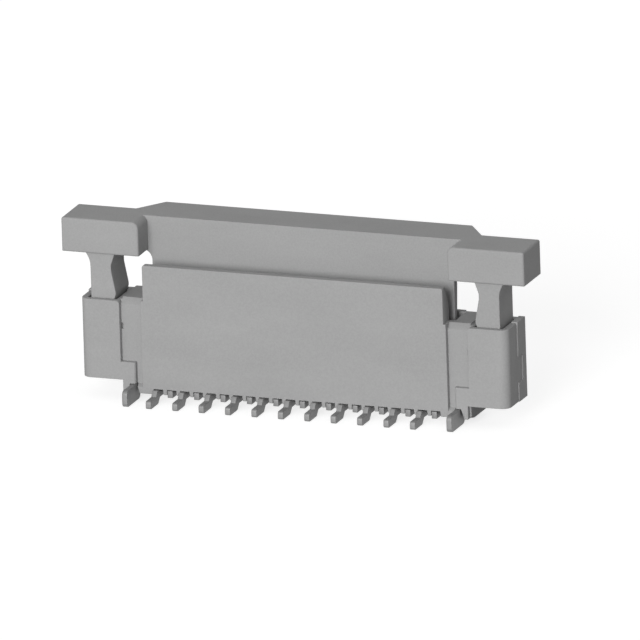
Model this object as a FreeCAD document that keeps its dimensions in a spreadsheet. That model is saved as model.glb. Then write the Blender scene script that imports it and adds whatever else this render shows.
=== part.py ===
import FreeCAD, Part
import os
import Sketcher

# Vertical flat-cable connector for a circuit board, drawn with its slider raised.
# X runs along the row of contacts, Y from the front panel to the back, Z upwards.
# The origin is on the board, under the middle of the connector.  Lengths in mm.

doc = FreeCAD.newDocument("fpc_connector")

# Driving dimensions

SIZES = {
    # Row of contacts
    "contact_count": 22,
    "contact_pitch": 0.5,
    "contact_thickness": 0.2,
    "contact_clearance": 0.02,
    "overall_depth": 4.86,
    # Solder feet and the bar that joins them to the contact's arms
    "foot_length": 0.76,
    "foot_height": 0.3,
    "foot_neck": 0.18,
    "foot_heel": 0.2,
    "foot_round": 0.09,
    "bar_bottom": 0.2,
    "bar_top": 0.8,
    "bar_end_top": 0.46,
    "bar_proud": 0.01,
    "riser_proud": 0.2,
    "riser_top": 0.5,
    "bar_end_length": 0.2,
    "bar_end_slope": 0.1,
    # Spring arm with its contact point, and the stiff arm behind the wedge
    "spring_width": 0.24,
    "spring_top": 3.3,
    "spring_point_height": 2.75,
    "spring_point_reach": 0.26,
    "spring_point_spread": 0.35,
    "spring_lean": 0.04,
    "spring_setback": 0.12,
    "spring_room": 0.1,
    "stiff_width": 0.34,
    "stiff_top": 3.05,
    "stiff_head": 0.35,
    "stiff_head_slope": 0.35,
    "stiff_lean": 0.1,
    "stiff_proud": 0.15,
    # Housing seen from the front
    "tail_exposure": 0.91,
    "slot_margin": 0.6,
    "panel_inset": 0.16,
    "panel_foot_step": 0.09,
    "end_wall": 0.19,
    "tongue_width": 0.55,
    "column_width": 0.49,
    "tab_entry": 0.13,
    "pocket_wall": 0.17,
    "outer_wall": 0.23,
    "cheek_step": 0.04,
    # Housing heights
    "column_bottom": 0.15,
    "column_toe_bottom": 0.25,
    "housing_bottom": 0.29,
    "tab_block_top": 0.51,
    "tab_block_slope": 0.11,
    "tongue_top": 1.41,
    "wing_bottom": 0.74,
    "wing_floor": 0.21,
    "shoulder_top": 3.65,
    "core_step": 0.065,
    "rear_block_top": 3.25,
    "panel_top": 5.03,
    "slot_floor": 0.95,
    # Housing depths
    "shoulder_recess": 0.19,
    "panel_thickness": 0.63,
    "panel_lip": 0.28,
    "panel_lead": 0.75,
    "slot_depth": 1.11,
    "core_lead": 0.22,
    "slot_end_lead": 0.08,
    "guard_thickness": 0.22,
    "pocket_back_wall": 0.13,
    "column_toe": 0.25,
    "column_toe_slope": 0.41,
    "cheek_start": 1.02,
    "cheek_notch_depth": 0.43,
    "cheek_notch_bottom": 1.45,
    "cheek_notch_top": 2.4,
    "rear_corner": 0.3,
    # Housing edges
    "wing_round": 0.33,
    "wing_foot_round": 0.12,
    "tongue_round": 0.1,
    "panel_round": 0.07,
    "slot_entry": 0.105,
    "slot_entry_flare": 0.03,
    "slot_entry_depth": 0.35,
    "window_height": 0.22,
    "window_width": 0.07,
    "window_cover": 0.1,
    # Slider
    "slider_travel": 1.5,
    "closed_gap": 0.14,
    "ear_height": 1.26,
    "ear_gap": 0.164,
    "ear_overhang": 0.675,
    "ear_setback": 0.15,
    "ear_depth": 1.74,
    "ear_round": 0.08,
    "ear_inner_round": 0.24,
    "cable_gap": 0.52,
    "grip_depth": 1.79,
    "grip_overlap": 0.696,
    "grip_taper": 0.75,
    "wedge_inset": 0.134,
    "wedge_thickness": 0.32,
    "wedge_slope": 0.11,
    "wedge_straight": 0.39,
    "wedge_slope_length": 1.6,
    "wedge_floor_gap": 0.15,
    "wedge_tip": 0.06,
    "wedge_tip_height": 0.12,
    "wedge_root_round": 0.38,
    # Slider legs, which hold it in the wings
    "leg_setback": 0.28,
    "leg_depth": 1.36,
    "leg_width": 0.93,
    "leg_clearance": 0.05,
    "leg_outer_clearance": 0.11,
    "leg_floor_gap": 0.07,
    "leg_flare": 0.185,
    "leg_flare_height": 0.52,
    "waist_depth": 0.15,
    "waist_height": 0.2,
    "waist_drop": 0.42,
    "waist_slope": 0.78,
    "lower_waist_slope": 0.4,
    "leg_foot_slope": 0.3,
    "barb_reach": 0.15,
    "barb_clearance": 0.02,
    "barb_height": 0.22,
    "barb_stop_gap": 0.06,
    # Solder tabs
    "tab_thickness": 0.2,
    "tab_clearance": 0.02,
    "tab_length": 1.36,
    "tab_height": 0.6,
    "tab_back_height": 0.3,
    "tab_front_round": 0.16,
    "tab_back_round": 0.2,
    "tab_stem_cover": 0.12,
    "tab_stem_foot": 0.1,
    "tab_stem_width": 0.3,
    "tab_stem_top": 2.2,
}

# How far a cut or a joined block runs past the face that it meets
PAST = 0.1

sheet = doc.addObject("Spreadsheet::Sheet", "Sizes")
for row, (name, number) in enumerate(SIZES.items(), start=1):
    sheet.set(f"A{row}", name)
    sheet.set(f"B{row}", str(number))
    sheet.setAlias(f"B{row}", name)
doc.recompute()


class Value:
    """A number together with the spreadsheet formula that gives it."""

    def __init__(self, number, formula):
        self.number = float(number)
        self.formula = formula

    def __add__(self, other):
        other = as_value(other)
        return Value(self.number + other.number, f"({self.formula} + {other.formula})")

    def __sub__(self, other):
        other = as_value(other)
        return Value(self.number - other.number, f"({self.formula} - {other.formula})")

    def __mul__(self, factor):
        factor = as_value(factor)
        return Value(self.number * factor.number, f"({self.formula} * {factor.formula})")

    def __truediv__(self, divisor):
        divisor = as_value(divisor)
        return Value(self.number / divisor.number, f"({self.formula} / {divisor.formula})")

    def __neg__(self):
        return Value(-self.number, f"(0 - {self.formula})")


def as_value(number):
    return number if isinstance(number, Value) else Value(number, str(number))


def size(name):
    return Value(sheet.get(name), f"Sizes.{name}")


def new_body(name):
    body = doc.addObject("PartDesign::Body", name)
    body.Label = name
    return body


def plane_of(body, role):
    return next(item for item in body.Origin.OriginFeatures if item.Role == role)


def draw(body, name, role, offset, corners):
    """Closed outline on a plane of the body's origin, every corner bound to the sheet.

    A corner with a third item starts an arc that leaves the side before it smoothly.
    """
    sketch = body.newObject("Sketcher::SketchObject", name)
    sketch.AttachmentSupport = (plane_of(body, role), [""])
    sketch.MapMode = "FlatFace"
    sketch.setExpression("AttachmentOffset.Base.z", as_value(offset).formula)
    points = [FreeCAD.Vector(as_value(c[0]).number, as_value(c[1]).number, 0) for c in corners]
    count = len(corners)
    starts = []
    for index, corner in enumerate(corners):
        start, end = points[index], points[(index + 1) % count]
        if len(corner) == 3:
            side = Part.Arc(start, arc_middle(points[index - 1], start, end), end)
        else:
            side = Part.LineSegment(start, end)
        sketch.addGeometry(side, False)
        starts.append(1 if sketch.getPoint(index, 1).distanceToPoint(start) < 1e-6 else 2)
    for index, corner in enumerate(corners):
        before = (index - 1) % count
        kind = "Tangent" if len(corner) == 3 else "Coincident"
        sketch.addConstraint(
            Sketcher.Constraint(kind, before, 3 - starts[before], index, starts[index]))
    for index, corner in enumerate(corners):
        for kind, place in zip(("DistanceX", "DistanceY"), corner[:2]):
            place = as_value(place)
            number = sketch.addConstraint(
                Sketcher.Constraint(kind, -1, 1, index, starts[index], place.number))
            sketch.setExpression(f"Constraints[{number}]", place.formula)
    return sketch


def arc_middle(before, start, end):
    """Middle point of the arc from start to end that leaves the side before it smoothly."""
    along = (start - before).normalize()
    chord = end - start
    across = chord - along * chord.dot(along)
    radius = chord.Length ** 2 / (2 * across.Length)
    centre = start + across.normalize() * radius
    towards = ((start - centre) + (end - centre)).normalize()
    return centre + towards * radius


def box_corners(low_a, high_a, low_b, high_b):
    return [(low_a, low_b), (high_a, low_b), (high_a, high_b), (low_a, high_b)]


def mirrored(corners):
    """The same outline on the other side of the middle, in the same turning sense."""
    return [(-as_value(corner[0]), corner[1]) for corner in reversed(corners)]


def turned_over(corners):
    """The same outline on the other side, with its corners in order, so that arcs start alike."""
    return [(-corner[0], *corner[1:]) for corner in corners]


def pad(body, sketch, length, symmetric=False):
    feature = body.newObject("PartDesign::Pad", sketch.Name + "_pad")
    feature.Profile = sketch
    feature.SideType = "Symmetric" if symmetric else "One side"
    feature.setExpression("Length", as_value(length).formula)
    doc.recompute()
    return feature


def pocket(body, sketch, length, symmetric=False, reverse=False):
    """Cut the outline away, and make sure that the cut takes something off."""
    before = body.Shape.Volume
    feature = body.newObject("PartDesign::Pocket", sketch.Name + "_cut")
    feature.Profile = sketch
    feature.SideType = "Symmetric" if symmetric else "One side"
    feature.Reversed = reverse
    feature.setExpression("Length", as_value(length).formula)
    doc.recompute()
    if body.Shape.Volume >= before:
        raise RuntimeError(f"{feature.Name} cuts nothing")
    return feature


def edges_along(shape, axis, places, low=None, high=None):
    """Names of the straight edges along an axis that pass through the given places."""
    along = "xyz".index(axis)
    across = [index for index in range(3) if index != along]
    names = []
    for number, edge in enumerate(shape.Edges, start=1):
        if len(edge.Vertexes) != 2 or edge.Curve.TypeId != "Part::GeomLine":
            continue
        first, last = (vertex.Point for vertex in edge.Vertexes)
        if abs(abs((last - first)[along]) - edge.Length) > 1e-5:
            continue
        middle = (first + last) / 2
        if low is not None and middle[along] < as_value(low).number:
            continue
        if high is not None and middle[along] > as_value(high).number:
            continue
        for place in places:
            off = [abs(middle[a] - as_value(p).number) for a, p in zip(across, place)]
            if max(off) < 1e-4:
                names.append(f"Edge{number}")
    return names


def fillet(body, name, edges, radius):
    if not edges:
        raise RuntimeError(f"{name} finds no edge")
    base = body.Tip
    feature = body.newObject("PartDesign::Fillet", name)
    feature.Base = (base, edges)
    feature.setExpression("Radius", radius.formula)
    doc.recompute()
    return feature


def round_edges(body, name, axis, places, radius, low=None, high=None):
    return fillet(body, name, edges_along(body.Tip.Shape, axis, places, low, high), radius)


# Places that several pieces share, worked out from the driving dimensions

tail_tip = size("overall_depth") / 2
panel_front = size("tail_exposure") - tail_tip
panel_back = panel_front + size("panel_thickness")
shoulder_front = panel_front + size("shoulder_recess")
slot_back = panel_back + size("slot_depth")
guard_back = slot_back + size("guard_thickness")
block_back = -panel_front
cheek_front = panel_front + size("cheek_start")

row_half = size("contact_pitch") * (size("contact_count") - 1) / 2
slot_half = row_half + size("slot_margin")
panel_half = slot_half - size("panel_inset")
tongue_inner = slot_half + size("end_wall")
column_outer = tongue_inner + size("column_width")
wing_inner = tongue_inner + size("tongue_width")
pocket_inner = wing_inner + size("pocket_wall")
leg_inner = pocket_inner + size("leg_clearance")
leg_outer = leg_inner + size("leg_width")
pocket_outer = leg_outer + size("leg_outer_clearance")
wing_outer = pocket_outer + size("outer_wall")
cheek_outer = wing_outer + size("cheek_step")
ear_inner = panel_half + size("ear_gap")
ear_outer = wing_outer + size("ear_overhang")
wedge_half = slot_half - size("wedge_inset")

leg_front = panel_front + size("leg_setback")
leg_back = leg_front + size("leg_depth")
pocket_front = leg_front - size("leg_clearance")
pocket_back = leg_back + size("leg_clearance")
wing_back = pocket_back + size("pocket_back_wall")
pocket_floor = size("wing_bottom") + size("wing_floor")
core_top = size("shoulder_top") + size("core_step")

ear_bottom = size("shoulder_top") + size("slider_travel") + size("closed_gap")
ear_top = ear_bottom + size("ear_height")
ear_front = panel_front + size("ear_setback")
ear_back = ear_front + size("ear_depth")
wedge_front = panel_back + size("cable_gap")
wedge_back = wedge_front + size("wedge_thickness")
grip_back = wedge_front + size("grip_depth")
wedge_bottom = size("slot_floor") + size("slider_travel") + size("wedge_floor_gap")
leg_bottom = pocket_floor + size("slider_travel") + size("leg_floor_gap")
barb_top = leg_bottom + size("barb_height")
barb_tip = leg_outer + size("barb_reach")
ledge_bottom = barb_top + size("barb_stop_gap")
catch_outer = barb_tip + size("barb_clearance")

bar_front = panel_front - size("bar_proud")
bar_back = block_back + size("bar_proud")
bar_end = block_back - size("bar_end_length")
spring_front = panel_back - size("spring_setback") - size("spring_width")
stiff_front = slot_back - size("stiff_proud")
stiff_back = stiff_front + size("stiff_width")

tab_inner = tongue_inner
tab_outer = tab_inner + size("tab_thickness")
tab_slot_inner = tab_inner - size("tab_clearance")
tab_slot_outer = tab_outer + size("tab_clearance")
tab_slot_top = size("tab_height") + size("tab_clearance")
stem_front = shoulder_front + size("tab_stem_cover")
stem_back = stem_front + size("tab_stem_width")


# Housing

def make_housing():
    body = new_body("housing")
    bottom = size("housing_bottom")

    core = draw(body, "core_plan", "XY_Plane", bottom,
                box_corners(-wing_inner, wing_inner, shoulder_front, wing_back))
    pad(body, core, core_top - bottom)
    slope = draw(body, "core_lead_profile", "YZ_Plane", 0, [
        (shoulder_front, core_top - size("core_lead")),
        (shoulder_front + size("core_lead"), core_top),
        (shoulder_front, core_top),
    ])
    pocket(body, slope, wing_inner * 2, symmetric=True)

    corner = size("rear_corner")
    block = draw(body, "rear_block_plan", "XY_Plane", bottom, [
        (-slot_half, slot_back),
        (slot_half, slot_back),
        (slot_half, block_back - corner),
        (slot_half - corner, block_back),
        (-slot_half + corner, block_back),
        (-slot_half, block_back - corner),
    ])
    pad(body, block, size("rear_block_top") - bottom)
    guard = draw(body, "guard_plan", "XY_Plane", bottom,
                 box_corners(-slot_half, slot_half, slot_back, guard_back))
    pad(body, guard, core_top - bottom)

    foot_half = panel_half + size("panel_foot_step")
    panel = draw(body, "panel_face", "XZ_Plane", -panel_back, [
        (-foot_half, bottom),
        (foot_half, bottom),
        (foot_half, core_top),
        (panel_half, core_top),
        (panel_half, size("panel_top")),
        (-panel_half, size("panel_top")),
        (-panel_half, core_top),
        (-foot_half, core_top),
    ])
    pad(body, panel, size("panel_thickness"))

    for side, flip in (("right", False), ("left", True)):
        make_wing(body, side, flip)
    make_tab_blocks(body)
    cut_column_toes(body)
    cut_slot(body)
    for side, flip in (("right", False), ("left", True)):
        cut_wing(body, side, flip)
    round_housing(body)
    cut_contact_slots(body)
    return body


def make_wing(body, side, flip):
    """One end of the housing: the wing, its rear cheek, and the column inside it."""
    turn = mirrored if flip else list
    wing = draw(body, f"{side}_wing_plan", "XY_Plane", size("wing_bottom"),
                turn(box_corners(wing_inner, wing_outer, panel_front, wing_back)))
    pad(body, wing, size("shoulder_top") - size("wing_bottom"))
    cheek = draw(body, f"{side}_cheek_plan", "XY_Plane", size("wing_bottom"),
                 turn(box_corners(pocket_outer + size("cheek_step"), cheek_outer,
                                  cheek_front, wing_back)))
    pad(body, cheek, size("shoulder_top") + size("cheek_step") - size("wing_bottom"))

    # The column comes down to just above the board, and the solder tab stands in its slot
    tongue = draw(body, f"{side}_tongue_face", "XZ_Plane", -shoulder_front, turn([
        (tongue_inner, size("tongue_top")),
        (tongue_inner, size("column_bottom")),
        (column_outer, size("column_bottom")),
        (column_outer, size("wing_bottom")),
        (wing_inner, size("wing_bottom")),
        (wing_inner, size("tongue_top")),
    ]))
    pad(body, tongue, size("shoulder_recess"))
    column = draw(body, f"{side}_column_face", "XZ_Plane", -wing_back, turn(
        box_corners(tongue_inner, column_outer, size("column_bottom"), size("wing_bottom"))))
    pad(body, column, wing_back - shoulder_front)


def make_tab_blocks(body):
    """Blocks beside the panel's foot, with a sloped top, that the inner sides of the tabs touch."""
    reach = tongue_inner + PAST
    block = draw(body, "tab_block_profile", "YZ_Plane", 0, [
        (shoulder_front, size("housing_bottom")),
        (shoulder_front, size("tab_block_top") + size("tab_block_slope")),
        (panel_front, size("tab_block_top")),
        (panel_front, size("housing_bottom")),
    ])
    pad(body, block, reach * 2, symmetric=True)


def cut_column_toes(body):
    """The columns reach down to their full depth with their rear part only."""
    low = size("column_bottom")
    toe_back = panel_front + size("column_toe")
    toe = draw(body, "column_toe_profile", "YZ_Plane", 0, [
        (panel_front - PAST, low - PAST),
        (toe_back + size("column_toe_slope"), low - PAST),
        (toe_back + size("column_toe_slope"), low),
        (toe_back, size("column_toe_bottom")),
        (panel_front - PAST, size("column_toe_bottom")),
    ])
    pocket(body, toe, wing_outer * 2, symmetric=True)


def cut_slot(body):
    """The slot for the cable and the wedge, with a lead-in at both ends and behind the lip."""
    slot = draw(body, "slot_plan", "XY_Plane", size("panel_top"),
                box_corners(-slot_half, slot_half, panel_back, slot_back))
    pocket(body, slot, size("panel_top") - size("slot_floor"))
    end_lead = size("slot_end_lead")
    ends = draw(body, "slot_end_face", "XZ_Plane", -panel_back, [
        (-slot_half - end_lead, core_top),
        (-slot_half, core_top - end_lead),
        (slot_half, core_top - end_lead),
        (slot_half + end_lead, core_top),
    ])
    pocket(body, ends, size("slot_depth"))
    lead = draw(body, "lead_profile", "YZ_Plane", 0, [
        (panel_front + size("panel_lip"), size("panel_top")),
        (panel_back, size("panel_top") - size("panel_lead")),
        (panel_back, size("panel_top")),
    ])
    pocket(body, lead, panel_half * 2, symmetric=True)


def cut_wing(body, side, flip):
    """The pocket for the slider's leg, the catch for its barb, and the tab's slot."""
    turn = mirrored if flip else list
    top = size("shoulder_top") + size("cheek_step")
    notch = draw(body, f"{side}_cheek_notch_plan", "XY_Plane", size("cheek_notch_top"),
                 turn(box_corners(wing_outer, cheek_outer + PAST, cheek_front - PAST,
                                  cheek_front + size("cheek_notch_depth"))))
    pocket(body, notch, size("cheek_notch_top") - size("cheek_notch_bottom"))
    leg = draw(body, f"{side}_pocket_plan", "XY_Plane", top,
               turn(box_corners(pocket_inner, pocket_outer, pocket_front, pocket_back)))
    pocket(body, leg, top - pocket_floor)
    catch = draw(body, f"{side}_catch_plan", "XY_Plane", ledge_bottom,
                 turn(box_corners(leg_outer, catch_outer, pocket_front, pocket_back)))
    pocket(body, catch, ledge_bottom - pocket_floor)
    window_depth = shoulder_front + size("window_cover")
    window = draw(body, f"{side}_window_face", "XZ_Plane", -window_depth, turn(
        box_corners(wing_inner - size("window_width"), wing_inner,
                    ledge_bottom - size("window_height"), ledge_bottom)))
    pocket(body, window, window_depth - panel_front, reverse=True)

    # The slot for the tab widens downwards, and its narrow upper part holds the stem
    slack = size("tab_clearance")
    entry = size("tab_entry")
    foot = draw(body, f"{side}_tab_foot_face", "XZ_Plane", -panel_front, turn([
        (tab_slot_inner - entry, size("column_bottom") - PAST),
        (tab_slot_outer + entry, size("column_bottom") - PAST),
        (tab_slot_outer + entry, size("column_toe_bottom")),
        (tab_slot_outer, tab_slot_top),
        (tab_slot_inner, tab_slot_top),
        (tab_slot_inner - entry, size("column_toe_bottom")),
    ]))
    pocket(body, foot, stem_back + slack - panel_front)
    stem = draw(body, f"{side}_tab_stem_face", "XZ_Plane", -(stem_front - slack), turn(
        box_corners(tab_inner, tab_slot_outer,
                    size("column_bottom"), size("tab_stem_top") + slack)))
    pocket(body, stem, size("tab_stem_width") + slack * 2)


def round_housing(body):
    """The moulding's rounded outside edges."""
    doc.recompute()
    places = [(wing_outer, panel_front), (-wing_outer, panel_front)]
    round_edges(body, "wing_front_rounds", "z", places, size("wing_round"))
    places = [(tongue_inner, panel_front), (-tongue_inner, panel_front)]
    round_edges(body, "tongue_rounds", "z", places, size("tongue_round"))
    places = [(panel_half, size("panel_top")), (-panel_half, size("panel_top"))]
    round_edges(body, "panel_corner_rounds", "y", places, size("panel_round"))
    places = [(wing_inner, size("shoulder_top")), (-wing_inner, size("shoulder_top"))]
    round_edges(body, "wing_corner_rounds", "y", places, size("wing_foot_round"),
                high=shoulder_front)


def cut_contact_slots(body):
    """One slot, open below, that holds a contact, repeated along the row.

    At both ends the slot is wider on the contact's right, which leads the contact in.
    """
    slack = size("contact_clearance")
    below = size("housing_bottom") - PAST
    end_top = size("bar_end_top") + slack
    cut_top = size("bar_top") + slack
    floor = size("slot_floor") + PAST
    spring_room = size("spring_top") + size("spring_room")
    stiff_room = size("stiff_top") + slack
    profile = draw(body, "contact_slot_profile", "YZ_Plane", -row_half, [
        (panel_front - PAST, below),
        (block_back + PAST, below),
        (block_back + PAST, end_top),
        (bar_end, end_top),
        (bar_end - size("bar_end_slope"), cut_top),
        (stiff_back + slack, cut_top),
        (stiff_back + slack, stiff_room),
        (slot_back - PAST, stiff_room),
        (slot_back - PAST, floor),
        (panel_back + PAST, floor),
        (panel_back + PAST, spring_room),
        (spring_front - slack, spring_room),
        (spring_front - slack, end_top),
        (panel_front - PAST, end_top),
    ])
    slot = pocket(body, profile, size("contact_thickness") + slack * 2, symmetric=True)
    half = size("contact_thickness") / 2 + slack
    entry_side = half + size("slot_entry")
    low_side = entry_side + size("slot_entry_flare")
    cuts = [slot]
    for name, place, back in (("front", -panel_front, False), ("back", -block_back, True)):
        entry = draw(body, f"{name}_entry_face", "XZ_Plane", place, [
            (-row_half - half, end_top),
            (-row_half - half, below),
            (-row_half + low_side, below),
            (-row_half + entry_side, end_top),
        ])
        cuts.append(pocket(body, entry, size("slot_entry_depth"), reverse=back))
    pattern = body.newObject("PartDesign::LinearPattern", "contact_slots")
    pattern.Originals = cuts
    pattern.Direction = (plane_of(body, "X_Axis"), [""])
    pattern.setExpression("Length", (row_half * 2).formula)
    pattern.setExpression("Occurrences", size("contact_count").formula)
    body.Tip = pattern
    doc.recompute()


# Contacts

def contact_outline(front):
    """Side view of a stamped contact whose solder foot is at the front or at the back."""
    low = size("bar_bottom")
    end_top = size("bar_end_top")
    top = size("bar_top")
    spring_back = spring_front + size("spring_width")
    point = spring_back + size("spring_point_reach")
    point_height = size("spring_point_height")
    spread = size("spring_point_spread")
    lean = size("spring_lean")
    head_bottom = size("stiff_top") - size("stiff_head")
    foot = size("foot_length")
    neck = foot - size("foot_neck")
    heel = foot + size("foot_heel")
    foot_top = size("foot_height")
    front_end = [(bar_front, end_top), (bar_front, low)]
    back_end = [(bar_back, low), (bar_back, end_top)]
    riser = panel_front - size("riser_proud")
    riser_top = size("riser_top")
    if front:
        front_end = [(bar_front, end_top), (riser, riser_top), (neck - tail_tip, foot_top),
                     (-tail_tip, foot_top), (-tail_tip, 0), (foot - tail_tip, 0),
                     (heel - tail_tip, low)]
    else:
        back_end = [(tail_tip - heel, low), (tail_tip - foot, 0), (tail_tip, 0),
                    (tail_tip, foot_top), (tail_tip - neck, foot_top), (-riser, riser_top),
                    (bar_back, end_top)]
    arms = [
        (bar_end, end_top),
        (bar_end - size("bar_end_slope"), top),
        (stiff_back, top),
        (stiff_back - size("stiff_lean"), size("stiff_top")),
        (stiff_front + size("stiff_lean"), size("stiff_top")),
        (stiff_front, head_bottom),
        (stiff_front + size("stiff_lean"), head_bottom - size("stiff_head_slope")),
        (stiff_front + size("stiff_lean"), top),
        (spring_back + lean, top),
        (spring_back, point_height - spread),
        (point, point_height),
        (spring_back, point_height + spread),
        (spring_back - lean, size("spring_top")),
        (spring_front + lean, size("spring_top")),
        (spring_front, top),
        (spring_front, end_top),
    ]
    return front_end + back_end + arms


def make_contact(name, place, front):
    body = new_body(name)
    profile = draw(body, f"{name}_profile", "YZ_Plane", 0, contact_outline(front))
    pad(body, profile, size("contact_thickness"), symmetric=True)
    tip = -tail_tip if front else tail_tip
    heel = size("foot_length") - tail_tip if front else tail_tip - size("foot_length")
    corners = [(tip, 0), (tip, size("foot_height")), (heel, 0)]
    round_edges(body, f"{name}_foot_rounds", "x", corners, size("foot_round"))
    body.setExpression("Placement.Base.x", place.formula)
    doc.recompute()
    return body


# Solder tabs

def make_tab(name, flip):
    body = new_body(name)
    length = size("tab_length")
    profile = draw(body, f"{name}_profile", "YZ_Plane", 0, [
        (-tail_tip, 0),
        (length - tail_tip, 0),
        (length - tail_tip, size("tab_back_height")),
        (stem_back, size("tab_height") - size("tab_stem_foot")),
        (stem_back, size("tab_stem_top")),
        (stem_front, size("tab_stem_top")),
        (stem_front, size("tab_height")),
        (-tail_tip, size("tab_height")),
    ])
    pad(body, profile, size("tab_thickness"), symmetric=True)
    round_edges(body, f"{name}_front_rounds", "x",
                [(-tail_tip, 0), (-tail_tip, size("tab_height"))], size("tab_front_round"))
    round_edges(body, f"{name}_back_round", "x", [(length - tail_tip, 0)], size("tab_back_round"))
    middle = tab_inner + size("tab_thickness") / 2
    body.setExpression("Placement.Base.x", (-middle if flip else middle).formula)
    doc.recompute()
    return body


# Slider

def make_slider():
    body = new_body("slider")
    taper = size("grip_taper")
    end = ear_inner + size("grip_overlap")
    grip = draw(body, "grip_plan", "XY_Plane", ear_bottom, [
        (-end, wedge_front),
        (end, wedge_front),
        (end, ear_back),
        (end - taper, grip_back),
        (-end + taper, grip_back),
        (-end, ear_back),
    ])
    pad(body, grip, size("ear_height"))
    for side, flip in (("right", False), ("left", True)):
        turn = mirrored if flip else list
        ear = draw(body, f"{side}_ear_plan", "XY_Plane", ear_bottom,
                   turn(box_corners(ear_inner, ear_outer, ear_front, ear_back)))
        pad(body, ear, size("ear_height"))
    tip = size("wedge_tip")
    low_back = wedge_back - size("wedge_slope")
    slope_top = ear_bottom - size("wedge_straight")
    wedge = draw(body, "wedge_profile", "YZ_Plane", 0, [
        (wedge_front, ear_bottom + PAST),
        (wedge_front, wedge_bottom + size("wedge_tip_height")),
        (wedge_front + tip, wedge_bottom),
        (low_back - tip, wedge_bottom),
        (low_back, wedge_bottom + size("wedge_tip_height")),
        (low_back, slope_top - size("wedge_slope_length")),
        (wedge_back, slope_top),
        (wedge_back, ear_bottom + PAST),
    ])
    pad(body, wedge, wedge_half * 2, symmetric=True)
    for side, flip in (("right", False), ("left", True)):
        make_wedge_root(body, side, flip)
        make_leg(body, side, flip)
    round_slider(body)
    return body


def make_wedge_root(body, side, flip):
    """The rounded root between the end of the wedge and the ear above it."""
    radius = size("wedge_root_round")
    outline = [
        (wedge_half - PAST, ear_bottom - radius - PAST),
        (wedge_half, ear_bottom - radius - PAST),
        (wedge_half, ear_bottom - radius, "arc"),
        (wedge_half + radius, ear_bottom),
        (wedge_half + radius, ear_bottom + PAST),
        (wedge_half - PAST, ear_bottom + PAST),
    ]
    if flip:
        outline = turned_over(outline)
    face = draw(body, f"{side}_wedge_root_face", "XZ_Plane", -wedge_back, outline)
    pad(body, face, size("wedge_thickness"))


def make_leg(body, side, flip):
    """A leg with a waist above and below, and a barb that stops the slider coming out."""
    waist = leg_inner + size("waist_depth")
    upper = ear_bottom - size("waist_drop")
    lower = upper - size("slider_travel")
    height = size("waist_height")
    slope = size("waist_slope")
    outline = [
        (barb_tip, leg_bottom),
        (barb_tip, barb_top),
        (leg_outer, barb_top),
        (leg_outer, ear_bottom - size("leg_flare_height"), "arc"),
        (leg_outer + size("leg_flare"), ear_bottom),
        (leg_outer + size("leg_flare"), ear_bottom + PAST),
        (leg_inner, ear_bottom + PAST),
        (leg_inner, ear_bottom),
        (waist, upper),
        (waist, upper - height),
        (leg_inner, upper - height - slope),
        (leg_inner, lower + size("lower_waist_slope")),
        (waist, lower),
        (waist, lower - height),
        (leg_inner, lower - height - size("leg_foot_slope")),
        (leg_inner, leg_bottom),
    ]
    if flip:
        outline = turned_over(outline)
    face = draw(body, f"{side}_leg_face", "XZ_Plane", -leg_back, outline)
    pad(body, face, size("leg_depth"))


def round_slider(body):
    """The rounded edges of both ears."""
    for side, sign in (("right", 1), ("left", -1)):
        inner = ear_inner * sign
        outer = ear_outer * sign
        round_edges(body, f"{side}_ear_inner_round", "y", [(inner, ear_top)],
                    size("ear_inner_round"))
        shape = body.Tip.Shape
        low, high = (0, None) if sign > 0 else (None, 0)
        edges = edges_along(shape, "z", [(outer, ear_front), (outer, ear_back), (inner, ear_front)])
        edges += edges_along(shape, "x", [(ear_front, ear_top), (ear_front, ear_bottom)], low, high)
        edges += edges_along(shape, "y", [(outer, ear_top)])
        fillet(body, f"{side}_ear_edges", edges, size("ear_round"))


# Build every piece

pieces = [make_housing(), make_slider()]
row_count = int(size("contact_count").number)
for index in range(row_count):
    front = index % 2 == 0
    row_name = "front_contact" if front else "back_contact"
    place = size("contact_pitch") * index - row_half
    pieces.append(make_contact(f"{row_name}_{index // 2 + 1:02d}", place, front))
pieces.append(make_tab("left_solder_tab", True))
pieces.append(make_tab("right_solder_tab", False))
doc.recompute()

# Check every object, then write each piece

for item in doc.Objects:
    if "Invalid" in item.State or "Error" in item.State:
        raise RuntimeError(f"{item.Name} failed: {item.State}")

os.makedirs("parts", exist_ok=True)
for piece in pieces:
    shape = piece.Shape
    if shape.isNull() or not shape.isValid() or len(shape.Solids) != 1:
        raise RuntimeError(f"{piece.Label} is not one sound solid")
    shape.exportStep(f"parts/{piece.Label}.step")
    box = shape.BoundBox
    print(f"{piece.Label}: {shape.Volume:.4f} mm3, x {box.XMin:.3f} to {box.XMax:.3f}, "
          f"y {box.YMin:.3f} to {box.YMax:.3f}, z {box.ZMin:.3f} to {box.ZMax:.3f}")
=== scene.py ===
# %% [markdown]
# Flat-cable connector, dressed for a studio picture
#
# The object is a small connector that is soldered to a circuit board.  A grey moulded housing
# holds a row of stamped contacts, and a second moulding, the slider, is pulled up to open it.
# The solid model comes in as a fixed frame: every piece below is made from it, in metres, where
# it already stands.  This lesson softens the moulded and stamped edges, lays out the contacts
# with Geometry Nodes, builds the plastic and tin finishes from nodes, and lights the result.

# %% Load the frame
import math

import bmesh
import bpy
from mathutils import Matrix, Vector


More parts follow.
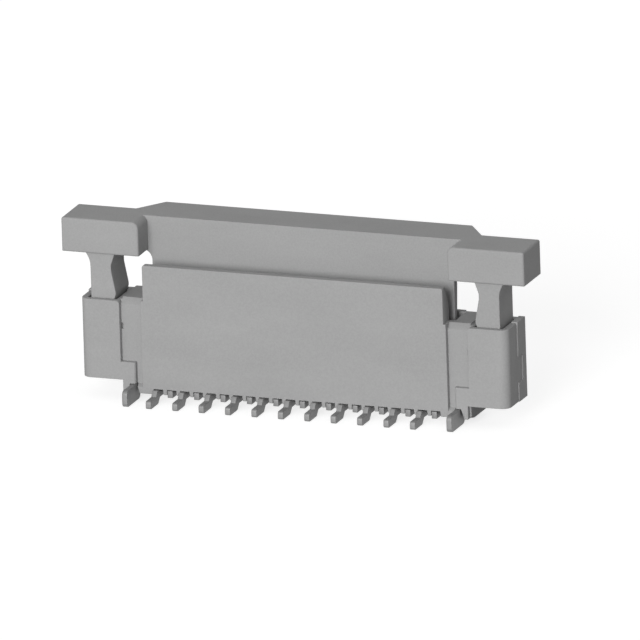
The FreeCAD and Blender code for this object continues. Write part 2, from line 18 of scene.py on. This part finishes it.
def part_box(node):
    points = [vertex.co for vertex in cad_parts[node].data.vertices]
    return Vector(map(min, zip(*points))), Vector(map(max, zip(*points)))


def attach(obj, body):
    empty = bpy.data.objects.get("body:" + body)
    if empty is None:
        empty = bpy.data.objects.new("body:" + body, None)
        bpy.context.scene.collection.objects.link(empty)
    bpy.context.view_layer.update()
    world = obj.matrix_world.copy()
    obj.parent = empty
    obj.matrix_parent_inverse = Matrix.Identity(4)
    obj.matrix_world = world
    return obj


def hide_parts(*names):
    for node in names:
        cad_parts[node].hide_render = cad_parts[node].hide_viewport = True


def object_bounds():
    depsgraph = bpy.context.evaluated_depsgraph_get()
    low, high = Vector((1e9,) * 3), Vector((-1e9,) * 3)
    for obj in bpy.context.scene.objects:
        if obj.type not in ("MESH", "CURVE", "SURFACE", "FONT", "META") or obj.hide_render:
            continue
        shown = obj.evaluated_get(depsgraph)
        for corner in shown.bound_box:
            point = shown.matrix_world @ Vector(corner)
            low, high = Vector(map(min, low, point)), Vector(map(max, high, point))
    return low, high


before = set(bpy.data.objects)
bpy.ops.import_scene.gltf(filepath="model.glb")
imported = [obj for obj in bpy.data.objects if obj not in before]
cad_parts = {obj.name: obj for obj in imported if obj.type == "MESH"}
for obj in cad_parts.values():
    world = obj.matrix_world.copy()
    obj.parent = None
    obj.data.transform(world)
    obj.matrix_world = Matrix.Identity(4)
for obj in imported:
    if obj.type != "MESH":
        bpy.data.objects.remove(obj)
cad_low, cad_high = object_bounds()
MM = 0.001
print("solid model", [round(side / MM, 2) for side in cad_high - cad_low], "mm")

# %% [markdown]
# The view
#
# Edges that are parallel on the connector stay parallel in the picture, so the camera is an
# orthographic one.  Three angles and the point that it aims at say all about it: how far it is
# turned to the right of the front, how high it looks from, and how much it leans.  It comes
# first.

# %% The camera
TURN = math.radians(21.0)
RISE = math.radians(16.56)
LEAN = math.radians(-1.79)
PICTURE_WIDTH = 22.69 * MM
AIM = (0.092 * MM, 0.910 * MM, 2.758 * MM)
CAMERA_DISTANCE = 60 * MM
CLIP_START = 1 * MM
CLIP_END = 3.0


def camera_turn():
    """Rotation of a camera that is turned, raised and leaned as the three angles say."""
    upright = Matrix.Rotation(TURN, 4, "Z") @ Matrix.Rotation(math.pi / 2 - RISE, 4, "X")
    return upright @ Matrix.Rotation(LEAN, 4, "Z")


def make_camera():
    """The camera that the picture is taken with."""
    data = bpy.data.cameras.new("camera")
    data.type = "ORTHO"
    data.ortho_scale = PICTURE_WIDTH
    data.clip_start = CLIP_START
    data.clip_end = CLIP_END
    camera = bpy.data.objects.new("camera", data)
    turn = camera_turn()
    backwards = turn.to_3x3() @ Vector((0, 0, 1))
    camera.matrix_world = Matrix.Translation(Vector(AIM) + backwards * CAMERA_DISTANCE) @ turn
    bpy.context.scene.collection.objects.link(camera)
    bpy.context.scene.camera = camera
    return camera


camera = make_camera()
print("camera stands at", [round(place / MM, 1) for place in camera.location], "mm")

# %% [markdown]
# Floor and light
#
# The picture has a plain white ground.  More lamps would only bleach the grey plastic, so the
# white comes from the materials: to the camera, and in what the metal mirrors, the world is
# white, while it lights the part much more softly.  The floor glows in the same way, and has a
# diffuse share besides, which brings it up to white and keeps the part's shadow.

# %% Floor and world
AMBIENT = 0.37
FLOOR_SHADE = 0.5
FLOOR_GLOW = 0.74
FLOOR_SIZE = 2.0
FLOOR_DROP = 0.01 * MM
WHITE = (1, 1, 1, 1)


def white_to_the_eye(nodes, links):
    """A value that is 1 for camera, glossy and transmission rays and 0 for all others."""
    path = nodes.new("ShaderNodeLightPath")
    glossy = nodes.new("ShaderNodeMath")
    glossy.operation = "MAXIMUM"
    links.new(path.outputs["Is Camera Ray"], glossy.inputs[0])
    links.new(path.outputs["Is Glossy Ray"], glossy.inputs[1])
    every = nodes.new("ShaderNodeMath")
    every.operation = "MAXIMUM"
    links.new(glossy.outputs[0], every.inputs[0])
    links.new(path.outputs["Is Transmission Ray"], every.inputs[1])
    return every.outputs[0]


def make_world():
    """A world that looks white and lights with the strength AMBIENT."""
    world = bpy.data.worlds.new("studio")
    world.use_nodes = True
    nodes, links = world.node_tree.nodes, world.node_tree.links
    nodes.clear()
    soft = nodes.new("ShaderNodeBackground")
    soft.inputs["Color"].default_value = WHITE
    soft.inputs["Strength"].default_value = AMBIENT
    white = nodes.new("ShaderNodeBackground")
    white.inputs["Color"].default_value = WHITE
    white.inputs["Strength"].default_value = 1
    mix = nodes.new("ShaderNodeMixShader")
    out = nodes.new("ShaderNodeOutputWorld")
    links.new(white_to_the_eye(nodes, links), mix.inputs["Fac"])
    links.new(soft.outputs[0], mix.inputs[1])
    links.new(white.outputs[0], mix.inputs[2])
    links.new(mix.outputs[0], out.inputs["Surface"])
    bpy.context.scene.world = world


def make_floor():
    """A plain white floor, just under the feet."""
    material = bpy.data.materials.new("white_floor")
    material.use_nodes = True
    nodes, links = material.node_tree.nodes, material.node_tree.links
    nodes.clear()
    shade = nodes.new("ShaderNodeBsdfDiffuse")
    shade.inputs["Color"].default_value = (FLOOR_SHADE, FLOOR_SHADE, FLOOR_SHADE, 1)
    glow = nodes.new("ShaderNodeEmission")
    level = nodes.new("ShaderNodeMath")
    level.operation = "MULTIPLY"
    level.inputs[1].default_value = FLOOR_GLOW
    links.new(white_to_the_eye(nodes, links), level.inputs[0])
    links.new(level.outputs[0], glow.inputs["Strength"])
    both = nodes.new("ShaderNodeAddShader")
    out = nodes.new("ShaderNodeOutputMaterial")
    links.new(shade.outputs[0], both.inputs[0])
    links.new(glow.outputs[0], both.inputs[1])
    links.new(both.outputs[0], out.inputs["Surface"])
    bpy.ops.mesh.primitive_plane_add(size=FLOOR_SIZE, location=(0, 0, cad_low.z - FLOOR_DROP))
    floor = bpy.context.object
    floor.name = "floor"
    floor.data.materials.append(material)
    return floor


make_world()
floor = make_floor()
print("floor at", round(floor.location.z / MM, 3), "mm")

# %% [markdown]
# The key light is a wide, soft sun from straight in front, a little above.  It makes the front
# the lightest side, the tops middle grey and the sides darkest.  A weaker one behind shows the
# back row of feet when the part is turned round.  It has no mirror image, because from the front
# that would lie as a white sheen on every top.

# %% Lamps
KEY_FROM = (0.0, -0.94, 0.26)
KEY_STRENGTH = 2.33
FILL_FROM = (-0.45, 0.88, 0.12)
FILL_STRENGTH = 0.5
LAMP_SPREAD = math.radians(30)


def make_lamp(name, comes_from, strength):
    """A sun whose light comes from that direction."""
    data = bpy.data.lights.new(name, "SUN")
    data.energy = strength
    data.angle = LAMP_SPREAD
    lamp = bpy.data.objects.new(name, data)
    lamp.rotation_euler = Vector(comes_from).to_track_quat("Z", "Y").to_euler()
    bpy.context.scene.collection.objects.link(lamp)
    return lamp


key = make_lamp("key", KEY_FROM, KEY_STRENGTH)
fill = make_lamp("fill", FILL_FROM, FILL_STRENGTH)
fill.visible_glossy = False
print("lamps", key.name, "and", fill.name)

# %% [markdown]
# A view transform bends colours.  Standard keeps them as the materials say.

# %% Colour
bpy.context.scene.view_settings.view_transform = "Standard"

# %% [markdown]
# Moulded plastic
#
# Housing and slider are moulded from glass-filled plastic.  Close up it is never one flat grey:
# short glass fibres make a fine speckle, the melt leaves faint cloudy streaks along the part,
# and the mould's spark-eroded steel prints an even grain.  The surface also waves slightly, and
# its gloss is patchy.  All of them are noises on Object coordinates, first scaled to millimetres,
# so that each has its real size on every face.

# %% Helpers for materials
PER_MM = 1 / MM


def start_material(name):
    """A material with one Principled shader, ready for its nodes."""
    material = bpy.data.materials.new(name)
    material.use_nodes = True
    nodes, links = material.node_tree.nodes, material.node_tree.links
    nodes.clear()
    shader = nodes.new("ShaderNodeBsdfPrincipled")
    out = nodes.new("ShaderNodeOutputMaterial")
    links.new(shader.outputs[0], out.inputs["Surface"])
    return material, nodes, links, shader


def millimetres(nodes, links, stretch=(1, 1, 1)):
    """Object coordinates in millimetres.  A stretch below 1 lengthens a pattern that way."""
    where = nodes.new("ShaderNodeTexCoord")
    scaled = nodes.new("ShaderNodeMapping")
    scaled.inputs["Scale"].default_value = [PER_MM * share for share in stretch]
    links.new(where.outputs["Object"], scaled.inputs["Vector"])
    return scaled.outputs[0]


def noise(nodes, links, coordinates, width, detail=2):
    """A noise whose bumps are about that wide, in millimetres."""
    node = nodes.new("ShaderNodeTexNoise")
    node.inputs["Scale"].default_value = 1 / width
    node.inputs["Detail"].default_value = detail
    links.new(coordinates, node.inputs["Vector"])
    return node.outputs["Fac"]


print("coordinates are scaled by", PER_MM)

# %% [markdown]
# A noise stays near 0.5, so it is spread over the range that is wanted.  A bump is given its real
# depth, and can lie over another bump.

# %% Helpers that turn a noise into a finish
NOISE_LOW = 0.3
NOISE_HIGH = 0.7


def spread(nodes, links, value, centre, swing):
    """The noise, spread to run from a swing below the centre to a swing above it."""
    node = nodes.new("ShaderNodeMapRange")
    node.inputs["From Min"].default_value = NOISE_LOW
    node.inputs["From Max"].default_value = NOISE_HIGH
    node.inputs["To Min"].default_value = centre - swing
    node.inputs["To Max"].default_value = centre + swing
    links.new(value, node.inputs["Value"])
    return node.outputs[0]


def multiply(nodes, links, first, second):
    """The product of two values."""
    node = nodes.new("ShaderNodeMath")
    node.operation = "MULTIPLY"
    links.new(first, node.inputs[0])
    links.new(second, node.inputs[1])
    return node.outputs[0]


def grey(nodes, links, value):
    """The value as a colour."""
    node = nodes.new("ShaderNodeCombineColor")
    for channel in ("Red", "Green", "Blue"):
        links.new(value, node.inputs[channel])
    return node.outputs[0]


def bump(nodes, links, height, depth, strength=1.0, under=None):
    """A bump of that depth in millimetres, laid over another one if there is one."""
    node = nodes.new("ShaderNodeBump")
    node.inputs["Distance"].default_value = depth * MM
    node.inputs["Strength"].default_value = strength
    links.new(height, node.inputs["Height"])
    if under is not None:
        links.new(under, node.inputs["Normal"])
    return node.outputs[0]


print("helpers for materials are ready")

# %% Plastic
PLASTIC_SHADE = 0.365
PLASTIC_SHINE = 0.02
ALONG_THE_ROW = (0.35, 1, 1)
STREAK, STREAK_SWING = 1.6, 0.035
SPECKLE, SPECKLE_SWING = 0.06, 0.04
PATCH, PATCH_SWING = 0.5, 0.05
WAVE, WAVE_DEPTH, WAVE_STRENGTH = 0.9, 0.006, 0.5


def make_plastic(name, grain, grain_depth, roughness):
    """Moulded plastic.  Widths and depths are in millimetres, as in the names above."""
    material, nodes, links, shader = start_material(name)
    place = millimetres(nodes, links)
    streaks = noise(nodes, links, millimetres(nodes, links, ALONG_THE_ROW), STREAK, detail=3)
    speckle = noise(nodes, links, place, SPECKLE, detail=1)
    tone = multiply(nodes, links,
                    spread(nodes, links, streaks, PLASTIC_SHADE, PLASTIC_SHADE * STREAK_SWING),
                    spread(nodes, links, speckle, 1, SPECKLE_SWING))
    links.new(grey(nodes, links, tone), shader.inputs["Base Color"])
    patches = noise(nodes, links, place, PATCH, detail=3)
    links.new(spread(nodes, links, patches, roughness, PATCH_SWING), shader.inputs["Roughness"])
    shader.inputs["Specular IOR Level"].default_value = PLASTIC_SHINE
    even = bump(nodes, links, noise(nodes, links, place, grain), grain_depth)
    waves = bump(nodes, links, noise(nodes, links, place, WAVE, detail=1), WAVE_DEPTH,
                 WAVE_STRENGTH, under=even)
    links.new(waves, shader.inputs["Normal"])
    return material


housing_plastic = make_plastic("housing_plastic", 0.045, 0.0016, roughness=0.62)
slider_plastic = make_plastic("slider_plastic", 0.035, 0.0010, roughness=0.55)
print("plastics", housing_plastic.name, slider_plastic.name)

# %% [markdown]
# Tin plating
#
# Contacts and tabs are stamped from sheet and plated with matte tin.  Tin grows as tiny grains,
# which scatter its shine, and rolling leaves faint lines in the sheet.  It is a metal, so its
# colour is in its reflection.  The grains go into colour and bump, and wider clouds into colour
# and roughness.

# %% Plating
PLATING_SHADE = 0.27
UPWARDS = (1, 1, 0.08)
CLOUD, CLOUD_SWING = 0.4, 0.06
TIN_GRAIN, TIN_SWING, TIN_DEPTH = 0.03, 0.05, 0.0012
ROLLED, ROLLED_DEPTH, ROLLED_STRENGTH = 0.03, 0.0008, 0.6


def make_plating(name, roughness):
    """Matte tin over stamped sheet, with the same clouds in its shade and its roughness."""
    material, nodes, links, shader = start_material(name)
    place = millimetres(nodes, links)
    grains = noise(nodes, links, place, TIN_GRAIN)
    clouds = noise(nodes, links, place, CLOUD, detail=3)
    tone = multiply(nodes, links,
                    spread(nodes, links, clouds, PLATING_SHADE, PLATING_SHADE * CLOUD_SWING),
                    spread(nodes, links, grains, 1, TIN_SWING))
    links.new(grey(nodes, links, tone), shader.inputs["Base Color"])
    shader.inputs["Metallic"].default_value = 1
    links.new(spread(nodes, links, clouds, roughness, CLOUD_SWING), shader.inputs["Roughness"])
    rolled = noise(nodes, links, millimetres(nodes, links, UPWARDS), ROLLED, detail=1)
    fine = bump(nodes, links, grains, TIN_DEPTH)
    lines = bump(nodes, links, rolled, ROLLED_DEPTH, ROLLED_STRENGTH, under=fine)
    links.new(lines, shader.inputs["Normal"])
    return material


contact_plating = make_plating("contact_plating", roughness=0.68)
tab_plating = make_plating("tab_plating", roughness=0.70)
print("platings", contact_plating.name, tab_plating.name)

# %% [markdown]
# Softening the edges
#
# No moulded or stamped edge is a perfect line: it is a narrow round that catches the light.  A
# copy of each solid is cleaned first: its loose triangles are merged, and flat neighbours become
# one face.  Then only the edges that have room for it get a round, because a bevel that is as
# wide as a small step would fold over itself.  Last, the big flat faces decide the shading, so
# that the narrow rounds between them carry all of the bend.

# %% Clean copies
FLAT_ANGLE = math.radians(0.5)
MERGE = 0.0005 * MM


def clean_copy(node, name):
    """A merged copy of a node of the frame, with its flat areas as single faces.

    The normals that come with the frame go too: they would hide its sharp edges from soften.
    """
    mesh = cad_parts[node].data.copy()
    mesh.name = name
    mesh.materials.clear()
    for layer in list(mesh.uv_layers):
        mesh.uv_layers.remove(layer)
    if mesh.has_custom_normals:
        mesh.attributes.remove(mesh.attributes["custom_normal"])
    solid = bmesh.new()
    solid.from_mesh(mesh)
    bmesh.ops.remove_doubles(solid, verts=solid.verts, dist=MERGE)
    bmesh.ops.dissolve_limit(solid, angle_limit=FLAT_ANGLE, verts=solid.verts,
                             edges=solid.edges, delimit={"NORMAL"})
    solid.to_mesh(mesh)
    solid.free()
    mesh.shade_smooth()
    piece = bpy.data.objects.new(name, mesh)
    bpy.context.scene.collection.objects.link(piece)
    return piece


# %% Rounds where there is room
CORNER = math.radians(30)
SHARP = math.radians(40)
ROUND_STEPS = 3
MOULD_ROOM = 4.0
STAMP_ROOM = 2.5


def room_beside(edge, face):
    """How far the face reaches from the edge, at most, across the edge."""
    start = edge.verts[0].co
    along = (edge.verts[1].co - start).normalized()
    reach = 0
    for vert in face.verts:
        away = vert.co - start
        reach = max(reach, (away - along * away.dot(along)).length)
    return reach


def box_of(verts):
    """Lowest and highest corner of the box around the vertices."""
    low = [min(vert.co[axis] for vert in verts) for axis in range(3)]
    high = [max(vert.co[axis] for vert in verts) for axis in range(3)]
    return low, high


def soften(piece, radius, room):
    """Rounds the outside edges whose faces are wider than room times the radius."""
    mesh = piece.data
    solid = bmesh.new()
    solid.from_mesh(mesh)
    low, high = box_of(solid.verts)
    chosen = [edge for edge in solid.edges
              if len(edge.link_faces) == 2 and edge.is_convex
              and edge.calc_face_angle() > CORNER
              and all(room_beside(edge, face) > room * radius for face in edge.link_faces)]
    result = bmesh.ops.bevel(solid, geom=chosen, offset=radius, offset_type="OFFSET",
                             segments=ROUND_STEPS, profile=0.5, affect="EDGES",
                             clamp_overlap=False, miter_outer="SHARP", loop_slide=False)
    count = len(result["faces"])
    for vert in solid.verts:
        vert.co = [min(max(vert.co[axis], low[axis]), high[axis]) for axis in range(3)]
    solid.to_mesh(mesh)
    solid.free()
    mesh.shade_smooth()
    mesh.set_sharp_from_angle(angle=SHARP)
    return count


print("edges over", round(math.degrees(CORNER)), "degrees get a round where there is room")

# %% [markdown]
# What a modifier makes is kept as plain mesh, and the modifier goes, because the finished pieces
# are read as meshes.

# %% Finishing a piece
def keep_result(piece, modifier):
    """Makes what the modifier shows the piece's own mesh."""
    depsgraph = bpy.context.evaluated_depsgraph_get()
    mesh = bpy.data.meshes.new_from_object(piece.evaluated_get(depsgraph))
    piece.modifiers.remove(modifier)
    piece.data = mesh


def finish_piece(piece, material, body, slot, *nodes):
    """Gives a piece its shading, its finish and its body, and hides the nodes that it replaces.
    """
    weighted = piece.modifiers.new("weighted", "WEIGHTED_NORMAL")
    weighted.keep_sharp = True
    keep_result(piece, weighted)
    piece.data.materials.clear()
    piece.data.materials.append(material)
    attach(piece, body)
    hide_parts(*nodes)
    print(piece.name, "has", len(piece.data.polygons), "faces")


# %% [markdown]
# The two mouldings
#
# The housing is one moulding with a tall front panel, two wings and a slot for every contact.
# The slider is the other: a grip with two ears, the wedge behind the cable, and two legs.

# %% Housing and slider
MOULD_ROUND = 0.022 * MM
SLIDER_ROUND = 0.03 * MM

housing = clean_copy("housing", "housing_moulding")
print("housing rounds:", soften(housing, MOULD_ROUND, MOULD_ROOM), "faces")
finish_piece(housing, housing_plastic, "base", "housing_plastic", "housing")

slider = clean_copy("slider", "slider_moulding")
print("slider rounds:", soften(slider, SLIDER_ROUND, MOULD_ROOM), "faces")
finish_piece(slider, slider_plastic, "lock", "slider_plastic", "slider")

# %% [markdown]
# The contacts
#
# All contacts are stamped with one of two dies, and stand in two rows at an even pitch.  That is
# work for Geometry Nodes: one softened contact goes in, a line of points carries it along the
# row, and the tree ends in real geometry with its material, because what is exported has to be
# plain mesh.  Count and pitch are read from the frame.

# %% The tree for a row
def make_row_tree():
    """Nodes that repeat one contact along a line and give the copies their plating."""
    tree = bpy.data.node_groups.new("contact_row", "GeometryNodeTree")
    wanted = (("Contact", "INPUT", "NodeSocketGeometry"), ("Count", "INPUT", "NodeSocketInt"),
              ("Pitch", "INPUT", "NodeSocketFloat"), ("First", "INPUT", "NodeSocketFloat"),
              ("Plating", "INPUT", "NodeSocketMaterial"), ("Row", "OUTPUT", "NodeSocketGeometry"))
    for name, way, kind in wanted:
        tree.interface.new_socket(name, in_out=way, socket_type=kind)
    nodes, links = tree.nodes, tree.links
    given = nodes.new("NodeGroupInput")
    start = nodes.new("ShaderNodeCombineXYZ")
    step = nodes.new("ShaderNodeCombineXYZ")
    line = nodes.new("GeometryNodeMeshLine")
    stamp = nodes.new("GeometryNodeInstanceOnPoints")
    real = nodes.new("GeometryNodeRealizeInstances")
    plate = nodes.new("GeometryNodeSetMaterial")
    out = nodes.new("NodeGroupOutput")
    links.new(given.outputs["First"], start.inputs["X"])
    links.new(given.outputs["Pitch"], step.inputs["X"])
    links.new(given.outputs["Count"], line.inputs["Count"])
    links.new(start.outputs[0], line.inputs["Start Location"])
    links.new(step.outputs[0], line.inputs["Offset"])
    links.new(line.outputs[0], stamp.inputs["Points"])
    links.new(given.outputs["Contact"], stamp.inputs["Instance"])
    links.new(stamp.outputs[0], real.inputs[0])
    links.new(real.outputs[0], plate.inputs["Geometry"])
    links.new(given.outputs["Plating"], plate.inputs["Material"])
    links.new(plate.outputs[0], out.inputs["Row"])
    return tree


row_tree = make_row_tree()
print("tree", row_tree.name, "has", len(row_tree.nodes), "nodes")

# %% One row
STAMP_ROUND = 0.018 * MM


def middle(node):
    """The middle of a node of the frame, along the row."""
    low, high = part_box(node)
    return (low.x + high.x) / 2


def make_row(die, name):
    """Softens the first contact of a die and repeats it along its row, as one plain mesh."""
    members = sorted(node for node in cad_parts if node.startswith(die))
    first, second = middle(members[0]), middle(members[1])
    row = clean_copy(members[0], name)
    row.data.transform(Matrix.Translation((-first, 0, 0)))
    soften(row, STAMP_ROUND, STAMP_ROOM)
    layout = row.modifiers.new("row", "NODES")
    layout.node_group = row_tree
    values = {"Count": len(members), "Pitch": second - first, "First": first,
              "Plating": contact_plating}
    for socket in row_tree.interface.items_tree:
        if socket.in_out == "INPUT" and socket.name in values:
            layout[socket.identifier] = values[socket.name]
    keep_result(row, layout)
    finish_piece(row, contact_plating, "base", "contact_plating", *members)


make_row("front_contact", "front_contact_row")
make_row("back_contact", "back_contact_row")

# %% [markdown]
# The solder tabs
#
# One tab at each end takes the pull of the cable off the contacts' solder joints.

# %% Tabs
for side in ("left", "right"):
    node = f"{side}_solder_tab"
    tab = clean_copy(node, f"{side}_tab")
    soften(tab, STAMP_ROUND, STAMP_ROOM)
    finish_piece(tab, tab_plating, "base", "tab_plating", node)
